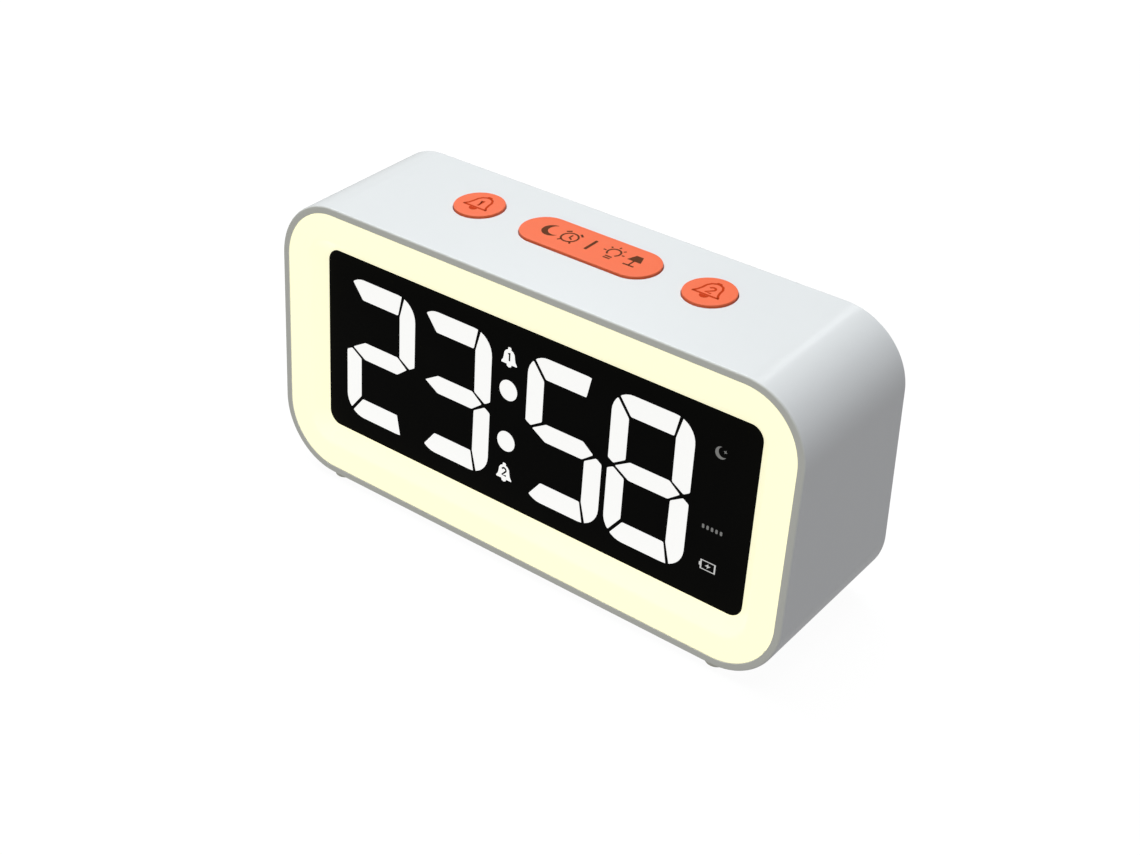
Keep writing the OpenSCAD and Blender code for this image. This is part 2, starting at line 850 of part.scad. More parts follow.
module battery_lead_positive() {
    color("#c8342c") battery_lead(-1);
}

module battery_lead_negative() {
    color("#232427") battery_lead(1);
}

// Turns a profile drawn as radius against depth about the speaker's axis
module speaker_turn() {
    translate([speaker_x, 0, speaker_z]) rotate([-90, 0, 0]) rotate_extrude() children();
}

module at_speaker_screws() {
    translate([speaker_x, 0, speaker_z]) for (a = [45:90:315]) rotate([0, a, 0])
        translate([speaker_screw_r, 0, 0]) children();
}

speaker_rim = cover_in - 0.7;
speaker_neck = speaker_rim - 7;
magnet_r = 10;

module speaker_basket() {
    color("#55585d") {
        speaker_turn() polygon([
            [magnet_r - 1, speaker_neck], [magnet_r, speaker_neck], [speaker_r - 3, speaker_rim - 1],
            [speaker_r, speaker_rim - 1], [speaker_r, speaker_rim], [speaker_r - 3.5, speaker_rim],
            [magnet_r - 1, speaker_neck + 0.8]
        ]);
        translate([speaker_x - 17.5, speaker_rim - 4.2, speaker_z - 2.5]) cube([4.2, 1, 5]);
    }
}

module speaker_cone() {
    color("#2b2c2e") speaker_turn() polygon([
        [0, speaker_rim - 3], [4, speaker_rim - 4], [5, speaker_rim - 5.2], [speaker_r - 4.6, speaker_rim - 0.9],
        [speaker_r - 4, speaker_rim - 0.2], [speaker_r - 4.4, speaker_rim - 0.2],
        [5, speaker_rim - 4.4], [4, speaker_rim - 3.4], [0, speaker_rim - 2.4]
    ]);
}

module speaker_magnet() {
    color("#6d7075") translate([speaker_x, 0, speaker_z]) rod_y(magnet_r, speaker_neck - 5.5, speaker_neck - 0.02);
}

module speaker_gasket() {
    color("#303235") speaker_turn()
        translate([speaker_r - 2.6, speaker_rim + 0.02]) square([2.4, cover_in - speaker_rim - 0.04]);
}

module speaker_screws() {
    color("#b9bcc0") at_speaker_screws() translate([0, speaker_rim - 1.04, 0]) screw(3.4, 1.1, 0.95, 2.6);
}

module speaker_leads() {
    color("#7d2f2b") for (dz = [-1, 1]) {
        start = [socket_x + socket_size.x / 2 + 0.02, socket_y, speaker_socket_z + dz];
        end = [speaker_x - 16, speaker_rim - 4.25, speaker_z + dz];
        lead([start, start + [12, 0, 0], end - [0, 8, 0], end], lead_r, [0, 0, 1]);
    }
}

// ---- Nodes ----

housing();
rear_cover();
light_ring();
display_window();
light_frame();
segment_reflector();
digit_1();
digit_2();
digit_3();
digit_4();
colon_dots();
indicator_lights();
display_board();
segment_leds();
night_light_leds();
display_drivers();
display_screws();
alarm_1_button();
snooze_button();
alarm_2_button();
alarm_1_plunger();
snooze_plunger();
alarm_2_plunger();
key_board();
top_switches();
key_board_screws();
set_key();
up_key();
down_key();
mode_key();
set_plunger();
up_plunger();
down_plunger();
mode_plunger();
rear_switches();
main_board();
main_board_screws();
microcontroller();
crystal();
capacitors();
wire_sockets();
usb_port();
ribbon_cable();
key_cable();
battery_cell();
battery_lead_positive();
battery_lead_negative();
speaker_basket();
speaker_cone();
speaker_magnet();
speaker_gasket();
speaker_screws();
speaker_leads();
cover_screws();
rubber_feet();
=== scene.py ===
"""Looks of the bedside alarm clock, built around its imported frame.

Lengths in this script are millimetres until a mesh is made; MM turns them into metres.
X runs to the right seen from the front, Y from front to back, Z up.
"""
import math

import bpy
import bmesh
from mathutils import Matrix, Vector


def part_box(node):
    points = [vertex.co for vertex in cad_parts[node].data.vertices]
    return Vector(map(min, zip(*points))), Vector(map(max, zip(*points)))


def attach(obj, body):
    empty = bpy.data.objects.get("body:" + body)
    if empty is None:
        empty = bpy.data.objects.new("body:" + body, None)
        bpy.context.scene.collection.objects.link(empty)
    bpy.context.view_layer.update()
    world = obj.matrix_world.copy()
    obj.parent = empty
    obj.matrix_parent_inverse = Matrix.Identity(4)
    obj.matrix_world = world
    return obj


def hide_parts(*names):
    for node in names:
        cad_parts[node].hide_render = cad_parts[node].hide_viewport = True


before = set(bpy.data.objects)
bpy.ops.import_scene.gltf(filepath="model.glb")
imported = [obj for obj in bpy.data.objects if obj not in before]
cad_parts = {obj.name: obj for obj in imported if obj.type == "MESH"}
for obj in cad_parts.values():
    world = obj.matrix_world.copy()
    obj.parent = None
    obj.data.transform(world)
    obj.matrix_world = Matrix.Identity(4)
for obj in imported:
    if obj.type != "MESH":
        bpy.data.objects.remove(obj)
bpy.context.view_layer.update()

MM = 0.001


def node_box(node):
    """Lowest and highest corner of a CAD node, in millimetres."""
    low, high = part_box(node)
    return low / MM, high / MM


# ---- Places, from the frame ----

HOUSING_LOW, HOUSING_HIGH = node_box("housing")
HALF_W = (HOUSING_HIGH.x - HOUSING_LOW.x) / 2
BOTTOM_Z, TOP_Z = HOUSING_LOW.z, HOUSING_HIGH.z
HALF_H = (TOP_Z - BOTTOM_Z) / 2
MID_Z = (TOP_Z + BOTTOM_Z) / 2
FRONT_Y, REAR_Y = HOUSING_LOW.y, HOUSING_HIGH.y

# ---- Design values that the frame doesn't hold ----

TILT = math.radians(5)
CORNER_R = 17.7
WALL = 2.0
SLOPE_MID = HALF_H / math.cos(TILT)
WINDOW_HALF = Vector((67.0, 25.8))
WINDOW_R = 3.7
WINDOW_DEPTH = 3.8
HAIR = 0.02  # keeps faces that would share a plane apart
LENS_FRONT = WINDOW_DEPTH + HAIR
LENS_BACK = LENS_FRONT + 1.5
DIGIT_W, DIGIT_H, DIGIT_R = 23.8, 40.6, 6.0
DIGIT_LEFT = (-60.5, -35.04, 0.2, 25.66)
COLON_X, COLON_S, COLON_R = -5.6, 7.25, 2.8
BELL_S = 16.6
STATUS_X = 56.5
SLIDE_GAP = 0.15
BUTTON_FLANGE = 1.3


# ---- Mesh helpers ----

SHARP_ANGLE = math.radians(32)


def finish_mesh(name, bm):
    """Turns a bmesh in millimetres into an object in metres, smooth except at sharp edges."""
    bmesh.ops.recalc_face_normals(bm, faces=bm.faces)
    bmesh.ops.scale(bm, vec=(MM, MM, MM), verts=bm.verts)
    mesh = bpy.data.meshes.new(name)
    bm.to_mesh(mesh)
    bm.free()
    obj = bpy.data.objects.new(name, mesh)
    bpy.context.scene.collection.objects.link(obj)
    smooth(obj)
    return obj


def smooth(obj):
    """Shades an object smooth, but keeps edges that turn more than SHARP_ANGLE sharp."""
    obj.data.shade_smooth()
    obj.data.set_sharp_from_angle(angle=SHARP_ANGLE)


def bake_modifiers(obj):
    """Applies the object's modifiers to its mesh."""
    graph = bpy.context.evaluated_depsgraph_get()
    mesh = bpy.data.meshes.new_from_object(obj.evaluated_get(graph))
    obj.modifiers.clear()
    obj.data = mesh


def boolean(obj, other, operation):
    """Cuts or keeps part of an object with another one, which is used up."""
    mod = obj.modifiers.new("cut", "BOOLEAN")
    mod.operation = operation
    mod.solver = "MANIFOLD"
    mod.object = other
    bake_modifiers(obj)
    bpy.data.objects.remove(other)


def weigh_normals(obj):
    """Keeps large flat faces flat in shading, beside small rounded ones."""
    mod = obj.modifiers.new("normals", "WEIGHTED_NORMAL")
    mod.keep_sharp = True
    bake_modifiers(obj)


def join(name, objects):
    """Joins objects into the first one and renames it."""
    bm = bmesh.new()
    for o in objects:
        bm.from_mesh(o.data)
    mesh = bpy.data.meshes.new(name)
    bm.to_mesh(mesh)
    bm.free()
    first = objects[0]
    first.data = mesh
    for o in objects[1:]:
        bpy.data.objects.remove(o)
    first.name = name
    return first


def add_loops(bm, loops, cap_first=False, cap_last=False, closed=False):
    """Bridges loops of equal length with quads; closed joins the last loop to the first."""
    rings = [[bm.verts.new(p) for p in loop] for loop in loops]
    count = len(loops[0])
    pairs = list(zip(rings, rings[1:]))
    if closed:
        pairs.append((rings[-1], rings[0]))
    for a, b in pairs:
        for i in range(count):
            j = (i + 1) % count
            bm.faces.new((a[i], a[j], b[j], b[i]))
    if cap_first:
        bm.faces.new(rings[0][::-1])
    if cap_last:
        bm.faces.new(rings[-1])


def loft(name, loops, **caps):
    """An object made of one run of loops, in millimetres."""
    bm = bmesh.new()
    add_loops(bm, loops, **caps)
    return finish_mesh(name, bm)


# ---- Outlines ----

def arc(cx, cy, r, a0, a1, steps):
    """Points along part of a circle, with angles in degrees."""
    angles = [math.radians(a0 + (a1 - a0) * i / steps) for i in range(steps + 1)]
    return [(cx + r * math.cos(a), cy + r * math.sin(a)) for a in angles]


def rounded(half_w, half_h, r, steps=24):
    """Rounded rectangle about the origin, counter-clockwise."""
    points = []
    for sx, sy, a in ((1, -1, -90), (1, 1, 0), (-1, 1, 90), (-1, -1, 180)):
        points += arc(sx * (half_w - r), sy * (half_h - r), r, a, a + 90, steps)
    return points


def stadium(length, width, steps=48):
    """A long outline with half-round ends, about the origin."""
    r = width / 2
    return arc(length / 2 - r, 0, r, -90, 90, steps) + arc(r - length / 2, 0, r, 90, 270, steps)


def circle(r, steps=48):
    """Points round a circle about the origin."""
    angles = [2 * math.pi * i / steps for i in range(steps)]
    return [(r * math.cos(a), r * math.sin(a)) for a in angles]


def moved(points, dx, dy):
    """An outline shifted in its own plane."""
    return [(x + dx, y + dy) for x, y in points]


def fillet(r, steps=5):
    """Inset and depth along a quarter-round edge, from the side wall to the face."""
    angles = [math.radians(90 * i / steps) for i in range(steps + 1)]
    return [(r * (1 - math.cos(a)), r * (1 - math.sin(a))) for a in angles]


# ---- The leaning front's own frame: X across, D into the clock, S up the slope ----

FRONT = Matrix.Translation((0, FRONT_Y, BOTTOM_Z)) @ Matrix.Rotation(-TILT, 4, "X")


def front_point(x, s, d):
    """A point given in the front's own frame, in the shared frame."""
    return FRONT @ Vector((x, d, s))


def front_y_at(z):
    """Y of the leaning front plane at a height."""
    return FRONT_Y + (z - BOTTOM_Z) * math.tan(TILT)


def front_loop(points, d):
    """An outline centred on the front face, at a depth behind it."""
    return [front_point(x, s + SLOPE_MID, d) for x, s in points]


def sleeve_loop(inset, depth=None, rear=None):
    """The sleeve's outline moved inwards, behind the leaning front or before the flat rear."""
    loop = []
    for x, z in rounded(HALF_W - inset, HALF_H - inset, CORNER_R - inset, 32):
        z += MID_Z
        y = front_y_at(z) + depth if rear is None else REAR_Y - rear
        loop.append((x, y, z))
    return loop


# ---- Camera, lights and floor ----

AIM = Vector((0.00096, -0.0004, 0.03091))
DISTANCE = 0.4474
AZIMUTH, ELEVATION, ROLL = (math.radians(a) for a in (38.27, 34.06, 0.35))
LENS = 55.51


def make_camera():
    """Camera at a distance from the point it aims at, turned by azimuth, elevation and roll."""
    data = bpy.data.cameras.new("camera")
    data.lens = LENS
    data.sensor_width = 36
    data.clip_start = 0.01
    camera = bpy.data.objects.new("camera", data)
    turn = (Matrix.Rotation(AZIMUTH, 4, "Z") @ Matrix.Rotation(math.pi / 2 - ELEVATION, 4, "X")
            @ Matrix.Rotation(ROLL, 4, "Z"))
    camera.matrix_world = Matrix.Translation(AIM + turn.to_3x3() @ Vector((0, 0, DISTANCE))) @ turn
    bpy.context.scene.collection.objects.link(camera)
    bpy.context.scene.camera = camera


def area_light(name, place, aim, size, power, colour=(1, 1, 1)):
    """A rectangular light; places and sizes in metres, power in watts."""
    data = bpy.data.lights.new(name, "AREA")
    data.shape = "RECTANGLE"
    data.size, data.size_y = size
    data.energy = power
    data.color = colour
    light = bpy.data.objects.new(name, data)
    light.location = place
    light.rotation_euler = (Vector(aim) - Vector(place)).to_track_quat("-Z", "Y").to_euler()
    bpy.context.scene.collection.objects.link(light)


def make_studio():
    """A large soft light above, a strip for the shoulder's highlight, a warm fill and a pale floor."""
    bpy.context.scene.view_settings.view_transform = "Standard"
    world = bpy.data.worlds.new("studio")
    bpy.context.scene.world = world
    world.use_nodes = True
    background = world.node_tree.nodes["Background"]
    background.inputs["Color"].default_value = (0.93, 0.96, 1.0, 1)
    background.inputs["Strength"].default_value = 0.05
    area_light("top_softbox", (-0.3, 0.2, 1.5), (0, 0, 0), (1.2, 2.6), 36.4, (0.967, 1.0, 1.0))
    area_light("edge_strip", (-0.17, 0.89, 0.85), (0.065, 0, 0.08), (0.1, 0.6), 0.65)
    area_light("front_fill", (-0.3, -1.2, 0.4), (0, 0, 0.04), (0.5, 0.5), 1.5, (1.0, 0.95, 0.35))
    floor_r, sweep_r, wall_top = 5000, 1000, 1900
    profile = [(floor_r * k / 4, 0) for k in (1, 2, 3, 4)]
    profile += [(floor_r + x, sweep_r + z) for x, z in arc(0, 0, sweep_r, -90, 0, 12)]
    profile.append((floor_r + sweep_r, wall_top))
    loops = [[(x, y, z) for x, y in circle(r, 96)] for r, z in profile]
    bowl = loft("floor", loops, cap_first=True)
    bowl.data.materials.append(floor_paint())


# ---- Materials ----

def new_material(name):
    """A new material with its node tree and its Principled shader."""
    material = bpy.data.materials.new(name)
    material.use_nodes = True
    tree = material.node_tree
    return material, tree, tree.nodes["Principled BSDF"]


def noise(tree, scale, detail=3.0, rough=0.5):
    """Noise over the object's own coordinates; scale is in features per metre."""
    place = tree.nodes.new("ShaderNodeTexCoord")
    node = tree.nodes.new("ShaderNodeTexNoise")
    node.inputs["Scale"].default_value = scale
    node.inputs["Detail"].default_value = detail
    node.inputs["Roughness"].default_value = rough
    tree.links.new(place.outputs["Object"], node.inputs["Vector"])
    return node.outputs["Fac"]


def spread(tree, value, low, high):
    """Maps a 0 to 1 value onto a range."""
    node = tree.nodes.new("ShaderNodeMapRange")
    node.inputs["To Min"].default_value = low
    node.inputs["To Max"].default_value = high
    tree.links.new(value, node.inputs["Value"])
    return node.outputs["Result"]


def blend_colours(tree, value, a, b):
    """Runs from colour a to colour b as the value goes from 0 to 1."""
    node = tree.nodes.new("ShaderNodeMix")
    node.data_type = "RGBA"
    node.inputs["A"].default_value = (*a, 1)
    node.inputs["B"].default_value = (*b, 1)
    tree.links.new(value, node.inputs["Factor"])
    return node.outputs["Result"]


def bump(tree, shader, height, strength, distance):
    """Gives the surface a fine relief; distance is its height in metres."""
    node = tree.nodes.new("ShaderNodeBump")
    node.inputs["Strength"].default_value = strength
    node.inputs["Distance"].default_value = distance
    tree.links.new(height, node.inputs["Height"])
    tree.links.new(node.outputs["Normal"], shader.inputs["Normal"])


def moulded(name, colour, shade=0.04, rough=(0.3, 0.4), grain=2600, grain_depth=0.00001, **constants):
    """Plastic, rubber or metal with a little mottling, uneven gloss and a fine moulded grain."""
    material, tree, shader = new_material(name)
    light = tuple(min(1.0, c * (1 + shade)) for c in colour)
    dark = tuple(c * (1 - shade) for c in colour)
    tree.links.new(blend_colours(tree, noise(tree, 90), dark, light), shader.inputs["Base Color"])
    tree.links.new(spread(tree, noise(tree, 420), *rough), shader.inputs["Roughness"])
    bump(tree, shader, noise(tree, grain, 2), 0.35, grain_depth)
    for socket, value in constants.items():
        shader.inputs[socket.replace("_", " ")].default_value = value
    return material


def glowing(name, colour, glow, strength, mottle=0.02):
    """A lit diffuser: milky plastic whose glow varies very slightly over its face."""
    material, tree, shader = new_material(name)
    tree.links.new(blend_colours(tree, noise(tree, 60), tuple(c * 0.97 for c in colour), colour),
                   shader.inputs["Base Color"])
    tree.links.new(spread(tree, noise(tree, 500), 0.42, 0.5), shader.inputs["Roughness"])
    tree.links.new(blend_colours(tree, noise(tree, 35, 1), tuple(c * (1 - mottle) for c in glow), glow),
                   shader.inputs["Emission Color"])
    shader.inputs["Emission Strength"].default_value = strength
    bump(tree, shader, noise(tree, 3000, 2), 0.3, 0.000008)
    return material


def floor_paint():
    """A glowing white sheet: bright where the camera sees it, with a weaker glow on the object."""
    seen_glow, object_glow = 0.95, 0.42
    material = moulded("floor_paint", (0.07, 0.07, 0.07), 0.004, (0.85, 0.95), 400, 0.00001,
                       Specular_IOR_Level=0.05, Emission_Color=(1, 1, 1, 1), Emission_Strength=seen_glow)
    tree = material.node_tree
    seen = tree.nodes["Principled BSDF"]
    glow = tree.nodes.new("ShaderNodeEmission")
    glow.inputs["Strength"].default_value = object_glow
    path = tree.nodes.new("ShaderNodeLightPath")
    mix = tree.nodes.new("ShaderNodeMixShader")
    tree.links.new(path.outputs["Is Camera Ray"], mix.inputs["Fac"])
    tree.links.new(glow.outputs["Emission"], mix.inputs[1])
    tree.links.new(seen.outputs["BSDF"], mix.inputs[2])
    tree.links.new(mix.outputs["Shader"], tree.nodes["Material Output"].inputs["Surface"])
    return material


SHELL = moulded("shell_white", (0.74, 0.75, 0.77), 0.006, (0.22, 0.28), Specular_IOR_Level=0.4)
COVER = moulded("cover_white", (0.74, 0.75, 0.77), 0.01, (0.5, 0.6), 1800, 0.00002)
RING = glowing("ring_diffuser", (0.80, 0.78, 0.40), (1.0, 0.97, 0.78), 0.71)
WINDOW = moulded("window_black", (0.0056, 0.0056, 0.0058), 0.1, (0.22, 0.3), 2600, 0.000003,
                 Specular_IOR_Level=0.01)
DIGIT = glowing("digit_glow", (0.3, 0.3, 0.3), (0.9, 0.9, 0.9), 0.90)
DIM = glowing("dim_glow", (0.1, 0.1, 0.1), (0.15, 0.15, 0.15), 0.8)
MID = glowing("mid_glow", (0.2, 0.2, 0.2), (0.5, 0.5, 0.5), 0.9)
ORANGE = moulded("button_orange", (0.85, 0.135, 0.040), 0.02, (0.42, 0.5), 2200, 0.000015,
                 Specular_IOR_Level=0.4)
ETCH = moulded("button_etch", (0.52, 0.042, 0.006), 0.05, (0.6, 0.7), Specular_IOR_Level=0.05)
INK = moulded("button_ink", (0.115, 0.036, 0.014), 0.05, (0.6, 0.7), Specular_IOR_Level=0.05)
KEY = moulded("key_grey", (0.46, 0.475, 0.495), 0.02, (0.45, 0.55))
PRINT = moulded("cover_print", (0.22, 0.22, 0.24), 0.05, (0.6, 0.7))
RUBBER = moulded("foot_rubber", (0.62, 0.62, 0.60), 0.06, (0.75, 0.9), 1500, 0.00004)
STEEL = moulded("screw_steel", (0.56, 0.57, 0.59), 0.06, (0.25, 0.42), 3000, 0.00001, Metallic=1.0)
INNER_WHITE = moulded("inner_white", (0.8, 0.8, 0.78), 0.02, (0.4, 0.5))
INNER_BLACK = moulded("inner_black", (0.02, 0.02, 0.022), 0.1, (0.4, 0.55))
BOARD = moulded("board_green", (0.012, 0.11, 0.045), 0.15, (0.2, 0.35), 900, 0.00003)
CHIP = moulded("chip_black", (0.018, 0.018, 0.02), 0.1, (0.5, 0.65), 3500, 0.00002)
LED = moulded("led_chip", (0.85, 0.68, 0.22), 0.08, (0.3, 0.4))
SWITCH = moulded("switch_black", (0.03, 0.03, 0.034), 0.1, (0.4, 0.5))
CAN = moulded("can_steel", (0.6, 0.61, 0.63), 0.05, (0.18, 0.3), 3000, 0.000008, Metallic=1.0)
IVORY = moulded("socket_ivory", (0.72, 0.68, 0.54), 0.04, (0.4, 0.5))
CABLE = moulded("cable_grey", (0.55, 0.57, 0.6), 0.06, (0.35, 0.45))
SLEEVE = moulded("cell_sleeve", (0.03, 0.13, 0.38), 0.08, (0.2, 0.32))
RED_WIRE = moulded("lead_red", (0.5, 0.02, 0.015), 0.06, (0.4, 0.5))
BLACK_WIRE = moulded("lead_black", (0.02, 0.02, 0.02), 0.06, (0.4, 0.5))
BASKET = moulded("speaker_frame", (0.06, 0.06, 0.065), 0.1, (0.35, 0.45))
PAPER = moulded("speaker_paper", (0.03, 0.03, 0.03), 0.2, (0.8, 0.95), 1200, 0.00006)
IRON = moulded("speaker_iron", (0.3, 0.31, 0.33), 0.1, (0.35, 0.5), Metallic=0.8)
FOAM = moulded("gasket_foam", (0.03, 0.03, 0.032), 0.25, (0.9, 1.0), 1500, 0.00015)

NODE_PAINT = {
    "light_frame": INNER_WHITE, "segment_reflector": INNER_BLACK,
    "digit_1": DIGIT, "digit_2": DIGIT, "digit_3": DIGIT, "digit_4": DIGIT,
    "colon_dots": DIGIT, "indicator_lights": DIM,
    "display_board": BOARD, "key_board": BOARD, "main_board": BOARD,
    "segment_leds": LED, "night_light_leds": LED,
    "display_drivers": CHIP, "microcontroller": CHIP,
    "display_screws": STEEL, "key_board_screws": STEEL, "main_board_screws": STEEL, "speaker_screws": STEEL,
    "alarm_1_plunger": SWITCH, "snooze_plunger": SWITCH, "alarm_2_plunger": SWITCH,
    "set_plunger": SWITCH, "up_plunger": SWITCH, "down_plunger": SWITCH, "mode_plunger": SWITCH,
    "top_switches": SWITCH, "rear_switches": SWITCH,
    "crystal": CAN, "capacitors": CAN, "wire_sockets": IVORY,
    "ribbon_cable": CABLE, "key_cable": BLACK_WIRE,
    "battery_cell": SLEEVE, "battery_lead_positive": RED_WIRE, "battery_lead_negative": BLACK_WIRE,
    "speaker_basket": BASKET, "speaker_cone": PAPER, "speaker_magnet": IRON, "speaker_gasket": FOAM,
    "speaker_leads": RED_WIRE,
}


def paint(obj, material):
    """Gives an object one material."""
    obj.data.materials.clear()
    obj.data.materials.append(material)


def paint_nodes():
    """Gives the CAD nodes that are kept as they are their materials."""
    for name, material in NODE_PAINT.items():
        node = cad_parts[name]
        for slot in node.material_slots:
            slot.material = material


def place(piece, material, slot, body="case", replaces=None):
    """Paints a finished piece, puts it on its body and hides the CAD node it replaces, if one is given."""
    paint(piece, material)
    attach(piece, body)
    if replaces:
        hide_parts(replaces)


def cad_copy(node, name):
    """A closed copy of a CAD node's mesh, in metres, to cut from."""
    bm = bmesh.new()
    bm.from_mesh(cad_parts[node].data)
    bmesh.ops.remove_doubles(bm, verts=bm.verts, dist=1e-7)
    mesh = bpy.data.meshes.new(name)
    bm.to_mesh(mesh)
    bm.free()
    obj = bpy.data.objects.new(name, mesh)
    bpy.context.scene.collection.objects.link(obj)
    return obj


# ---- Housing ----

EDGE_R = 0.45
INNER_EDGE_R = 0.15


def cap_outline(node, grow, z):
    """A top button's visible outline at a height, grown by a distance."""
    low, high = node_box(node)
    length, width = (size - 2 * (BUTTON_FLANGE - grow) for size in (high.x - low.x, high.y - low.y))
    outline = moved(stadium(length, width), (low.x + high.x) / 2, (low.y + high.y) / 2)
    return [(x, y, z) for x, y in outline]


def button_cutter(node):
    """A cutter for a button's hole; its mouth flares into a small round edge at the top face."""
    flare, past = 0.25, 2.0
    loops = [cap_outline(node, SLIDE_GAP, TOP_Z - WALL - past)]
    for inset, depth in fillet(flare, 4):
        loops.append(cap_outline(node, SLIDE_GAP + inset, TOP_Z - depth))
    loops.append(cap_outline(node, SLIDE_GAP + flare, TOP_Z + past))
    return loft("cutter", loops, cap_first=True, cap_last=True)


def make_housing():
    """The sleeve with rounded edges and button holes, joined to the CAD part's own inner bosses."""
    loops = []
    for inset, depth in reversed(fillet(EDGE_R)):
        loops.append(sleeve_loop(inset, rear=depth))
    for inset, depth in fillet(EDGE_R):
        loops.append(sleeve_loop(inset, depth=depth))
    for inset, depth in reversed(fillet(INNER_EDGE_R, 3)):
        loops.append(sleeve_loop(WALL - inset, depth=depth))
    for inset, depth in fillet(INNER_EDGE_R, 3):
        loops.append(sleeve_loop(WALL - inset, rear=depth))
    shell = loft("housing_shell", loops, closed=True)
    for node in ("alarm_1_button", "snooze_button", "alarm_2_button"):
        boolean(shell, button_cutter(node), "DIFFERENCE")
    inside = cad_copy("housing", "housing_inside")
    core_inset, past = WALL + 0.05, 3.0
    core = loft("core", [sleeve_loop(core_inset, depth=-past), sleeve_loop(core_inset, rear=-past)],
                cap_first=True, cap_last=True)
    boolean(inside, core, "INTERSECT")
    shell = join("housing_shell", [shell, inside])
    smooth(shell)
    weigh_normals(shell)
    place(shell, SHELL, "shell_white", replaces="housing")


# ---- Light ring and window ----

def window_outline(grow):
    """The window's outline about the face's middle, grown by a distance."""
    return rounded(WINDOW_HALF.x + grow, WINDOW_HALF.y + grow, WINDOW_R + grow, 32)


def make_light_ring():
    """The diffuser: a flat face, a rounded brow, a 45 degree slope to the window and a seat for the lens."""
    gap, plate = 0.1, 2.0
    edge, foot = 0.2, 0.12
    border, lip = 5.0, 1.5
    brow, brow_steps = 1.6, 8
    loops = [sleeve_loop(WALL + gap, depth=plate)]
    for inset, depth in fillet(edge, 3):
        loops.append(sleeve_loop(WALL + gap + inset, depth=depth + HAIR))
    start = WINDOW_DEPTH + brow * math.tan(math.pi / 8)
    for i in range(brow_steps + 1):
        a = math.radians(45 * i / brow_steps)
        loops.append(front_loop(window_outline(start - brow * math.sin(a)), HAIR + brow * (1 - math.cos(a))))
    loops.append(front_loop(window_outline(foot), WINDOW_DEPTH - foot))
    loops.append(front_loop(window_outline(0), WINDOW_DEPTH))
    loops.append(front_loop(window_outline(lip), WINDOW_DEPTH))
    back = LENS_BACK + 0.18
    loops.append(front_loop(window_outline(lip), back))
    loops.append(front_loop(window_outline(border), back))
    loops.append(front_loop(window_outline(border), plate))
    ring = loft("light_ring_face", loops, closed=True)
    weigh_normals(ring)
    place(ring, RING, "ring_diffuser", replaces="light_ring")


def make_window():
    """The black pane, a little wider than the opening in the ring."""
    lip, edge = 1.4, 0.2
    loops = []
    for inset, depth in reversed(fillet(edge, 3)):
        loops.append(front_loop(window_outline(lip - inset), LENS_FRONT + depth))
    loops.append(front_loop(window_outline(lip), LENS_BACK))
    pane = loft("window_pane", loops, cap_first=True, cap_last=True)
    weigh_normals(pane)
    place(pane, WINDOW, "window_black", replaces="display_window")


# ---- Lit digits and symbols: thin shapes on the window's face ----

GLOW_T = 0.04


def clip(subject, window):
    """Part of a convex polygon inside another, both counter-clockwise."""
    result = subject
    for i, a in enumerate(window):
        b = window[(i + 1) % len(window)]
        points, result = result, []
        side = [(b[0] - a[0]) * (p[1] - a[1]) - (b[1] - a[1]) * (p[0] - a[0]) for p in points]
        for j, p in enumerate(points):
            q, sp, sq = points[j - 1], side[j], side[j - 1]
            if (sp >= 0) != (sq >= 0):
                t = sq / (sq - sp)
                result.append((q[0] + t * (p[0] - q[0]), q[1] + t * (p[1] - q[1])))
            if sp >= 0:
                result.append(p)
    return result


def soften(points, r, steps=3):
    """Rounds a polygon's corners by cutting r off each side of every clear corner."""
    result = []
    for i, p in enumerate(points):
        p = Vector(p)
        a, b = Vector(points[i - 1]), Vector(points[(i + 1) % len(points)])
        turn = (p - a).angle(b - p, 0)
        if turn < math.radians(20):
            result.append(p)
            continue
        cut = min(r, (p - a).length / 2.2, (b - p).length / 2.2)
        start, end = p + (a - p).normalized() * cut, p + (b - p).normalized() * cut
        for k in range(steps + 1):
            t = k / steps
            result.append(start * (1 - t) ** 2 + p * 2 * t * (1 - t) + end * t * t)
    return [tuple(p) for p in result]


def shrink(points, gap):
    """A counter-clockwise polygon with every side moved inwards."""
    lines = []
    for i, p in enumerate(points):
        a, b = Vector(p), Vector(points[(i + 1) % len(points)])
        along = (b - a).normalized()
        inwards = Vector((-along.y, along.x)) * gap
        lines.append((a + inwards, along))
    result = []
    for i, (a, u) in enumerate(lines):
        b, v = lines[i - 1]
        t = ((b - a).x * v.y - (b - a).y * v.x) / (u.x * v.y - u.y * v.x)
        result.append(tuple(a + u * t))
    return result


def counter_clockwise(points):
    """The outline in counter-clockwise order."""
    area = sum(points[i - 1][0] * p[1] - p[0] * points[i - 1][1] for i, p in enumerate(points))
    return points if area > 0 else points[::-1]


UPPER_SEGMENTS = {
    "a": [(0.7, 41), (5.6, 34.8), (18, 34.8), (19.3, 41)],
    "b": [(20.1, 41), (18.4, 34.7), (18.5, 22.9), (22.1, 20.7), (24, 21.9), (24, 41)],
    "f": [(-0.1, 40.9), (-0.1, 21.7), (1.7, 20.7), (5.2, 22.9), (5.2, 34.2)],
    "g": [(2, 20.3), (6.4, 17.7), (17.9, 17.7), (21.3, 20.3), (17.9, 22.9), (6.4, 22.9)],
}
MIRRORED = {"d": "a", "c": "b", "e": "f"}
LIT = {"2": "abged", "3": "abgcd", "5": "afgcd", "8": "abcdefg"}
SHOWN_TIME = "2358"


